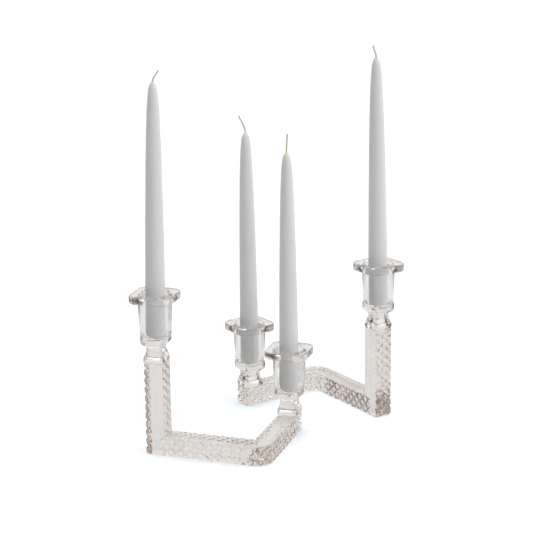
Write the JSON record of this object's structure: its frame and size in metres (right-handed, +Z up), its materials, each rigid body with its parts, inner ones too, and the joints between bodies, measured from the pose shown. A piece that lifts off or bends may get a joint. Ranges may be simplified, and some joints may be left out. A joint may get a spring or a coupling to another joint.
{
  "type": "menorah",
  "caption": "L-shaped moulded glass candle holders with a tall and a short cup each, diamond-cut bars and lift-out taper candles.",
  "frame": {"origin": "middle of the object's bounding box at table level", "axes": "+Z up, +X to the viewer's right, +Y away from the viewer"},
  "size_m": [0.3116, 0.2679, 0.4335],
  "materials": {
    "glass": "clear polished moulded glass with diamond-cut sides",
    "wax": "satin white wax",
    "wick": "waxed braided cotton"
  },
  "bodies": {
    "front_holder": {"front_glass_base": "glass", "front_tall_cup": "glass", "front_short_cup": "glass"},
    "back_holder": {"back_glass_base": "glass", "back_tall_cup": "glass", "back_short_cup": "glass"},
    "front_tall_candle": {"front_tall_candle": "wax", "front_tall_wick": "wick"},
    "front_short_candle": {"front_short_candle": "wax", "front_short_wick": "wick"},
    "back_tall_candle": {"back_tall_candle": "wax", "back_tall_wick": "wick"},
    "back_short_candle": {"back_short_candle": "wax", "back_short_wick": "wick"}
  },
  "joints": [
    {"name": "back_holder_slide", "type": "slide", "parent": "front_holder", "child": "back_holder", "axis": [1, 0, 0], "range_m": [0, 0.15]},
    {"name": "front_tall_candle_lift", "type": "slide", "parent": "front_holder", "child": "front_tall_candle", "axis": [0, 0, 1], "range_m": [0, 0.06]},
    {"name": "front_short_candle_lift", "type": "slide", "parent": "front_holder", "child": "front_short_candle", "axis": [0, 0, 1], "range_m": [0, 0.06]},
    {"name": "back_tall_candle_lift", "type": "slide", "parent": "back_holder", "child": "back_tall_candle", "axis": [0, 0, 1], "range_m": [0, 0.06]},
    {"name": "back_short_candle_lift", "type": "slide", "parent": "back_holder", "child": "back_short_candle", "axis": [0, 0, 1], "range_m": [0, 0.06]}
  ]
}
